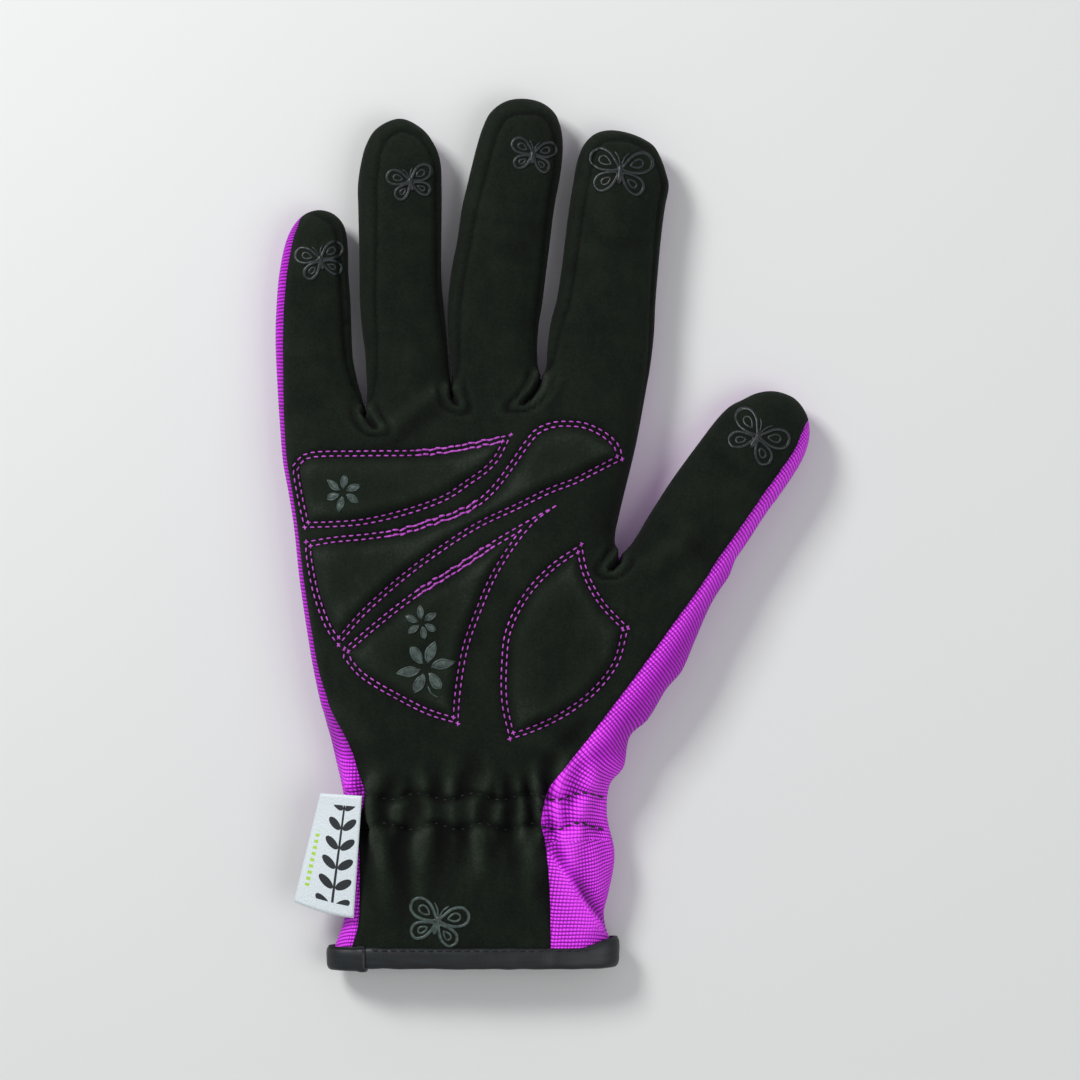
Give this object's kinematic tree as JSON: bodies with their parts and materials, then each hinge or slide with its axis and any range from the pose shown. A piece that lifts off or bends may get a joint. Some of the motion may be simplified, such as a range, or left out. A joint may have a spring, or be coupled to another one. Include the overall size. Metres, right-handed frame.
{
  "type": "gardening glove",
  "caption": "Right-hand work glove with a quilted suede palm, raised silicone grips, a bright woven back, a gathered wrist, a bound flared cuff and a side label.",
  "frame": {"origin": "bottom centre of the whole glove's box, on the surface that its back lies on", "axes": "+Y from the cuff to the fingertips, +X to the thumb side, +Z out of the palm; the glove lies on its back"},
  "size_m": [0.1471, 0.24, 0.0246],
  "materials": {
    "suede": "matte brushed synthetic suede",
    "padded_suede": "matte brushed synthetic suede over thin foam",
    "woven_back": "stretch weave with a slight sheen",
    "purple_thread": "satin polyester thread",
    "black_thread": "satin polyester thread",
    "binding_tape": "satin woven tape",
    "elastic": "flat woven elastic",
    "silicone": "glossy printed silicone",
    "label_tape": "fine woven label tape"
  },
  "bodies": {
    "hand": {"palm_panel": "suede", "back_panel": "woven_back", "finger_root_pad": "padded_suede", "diagonal_pad": "padded_suede", "palm_centre_pad": "padded_suede", "thumb_ball_pad": "padded_suede", "pad_stitching": "purple_thread", "root_palm_faces": "suede", "root_back_faces": "woven_back", "root_gussets": "suede", "wrist_elastic": "elastic", "elastic_stitching": "black_thread", "cuff_binding": "binding_tape", "binding_stitching": "black_thread", "flower_grips": "silicone", "cuff_butterfly_grip": "silicone"},
    "little_lower": {"little_lower_palm": "suede", "little_lower_back": "woven_back", "little_lower_gusset": "suede"},
    "little_tip": {"little_tip_palm": "suede", "little_tip_back": "woven_back", "little_tip_gusset": "suede", "little_butterfly_grip": "silicone"},
    "ring_lower": {"ring_lower_palm": "suede", "ring_lower_back": "woven_back", "ring_lower_gusset": "suede"},
    "ring_tip": {"ring_tip_palm": "suede", "ring_tip_back": "woven_back", "ring_tip_gusset": "suede", "ring_butterfly_grip": "silicone"},
    "middle_lower": {"middle_lower_palm": "suede", "middle_lower_back": "woven_back", "middle_lower_gusset": "suede"},
    "middle_tip": {"middle_tip_palm": "suede", "middle_tip_back": "woven_back", "middle_tip_gusset": "suede", "middle_butterfly_grip": "silicone"},
    "index_lower": {"index_lower_palm": "suede", "index_lower_back": "woven_back", "index_lower_gusset": "suede"},
    "index_tip": {"index_tip_palm": "suede", "index_tip_back": "woven_back", "index_tip_gusset": "suede", "index_butterfly_grip": "silicone"},
    "thumb_lower": {"thumb_lower_palm": "suede", "thumb_lower_back": "woven_back"},
    "thumb_tip": {"thumb_tip_palm": "suede", "thumb_tip_back": "woven_back", "thumb_butterfly_grip": "silicone"},
    "label": {"side_label": "label_tape"}
  },
  "joints": [
    {"name": "little_base_bend", "type": "hinge", "parent": "hand", "child": "little_lower", "pos_m": [-0.061, 0.0462, 0.0149], "axis": [1, 0, 0], "range_deg": [0, 80]},
    {"name": "little_middle_bend", "type": "hinge", "parent": "little_lower", "child": "little_tip", "pos_m": [-0.061, 0.0682, 0.0149], "axis": [1, 0, 0], "range_deg": [0, 85]},
    {"name": "ring_base_bend", "type": "hinge", "parent": "hand", "child": "ring_lower", "pos_m": [-0.03735, 0.05209, 0.0149], "axis": [0.9993, 0.0384, 0], "range_deg": [0, 80]},
    {"name": "ring_middle_bend", "type": "hinge", "parent": "ring_lower", "child": "ring_tip", "pos_m": [-0.03843, 0.08007, 0.0149], "axis": [0.9993, 0.0384, 0], "range_deg": [0, 85]},
    {"name": "middle_base_bend", "type": "hinge", "parent": "hand", "child": "middle_lower", "pos_m": [-0.01179, 0.05644, 0.0149], "axis": [0.9947, -0.1028, 0], "range_deg": [0, 80]},
    {"name": "middle_middle_bend", "type": "hinge", "parent": "middle_lower", "child": "middle_tip", "pos_m": [-0.00881, 0.08528, 0.0149], "axis": [0.9947, -0.1028, 0], "range_deg": [0, 85]},
    {"name": "index_base_bend", "type": "hinge", "parent": "hand", "child": "index_lower", "pos_m": [0.01634, 0.05431, 0.0149], "axis": [0.9925, -0.1219, 0], "range_deg": [0, 80]},
    {"name": "index_middle_bend", "type": "hinge", "parent": "index_lower", "child": "index_tip", "pos_m": [0.01951, 0.08012, 0.0149], "axis": [0.9925, -0.1219, 0], "range_deg": [0, 85]},
    {"name": "thumb_base_bend", "type": "hinge", "parent": "hand", "child": "thumb_lower", "pos_m": [0.04007, -0.0041, 0.01895], "axis": [0.8221, -0.5693, 0], "range_deg": [0, 45]},
    {"name": "thumb_middle_bend", "type": "hinge", "parent": "thumb_lower", "child": "thumb_tip", "pos_m": [0.0543, 0.01646, 0.0167], "axis": [0.8221, -0.5693, 0], "range_deg": [0, 60]},
    {"name": "label_flap", "type": "hinge", "parent": "hand", "child": "label", "pos_m": [-0.0518, -0.1053, 0.0132], "axis": [0.0653, 0.9915, 0.1128], "range_deg": [-10, 100]}
  ]
}
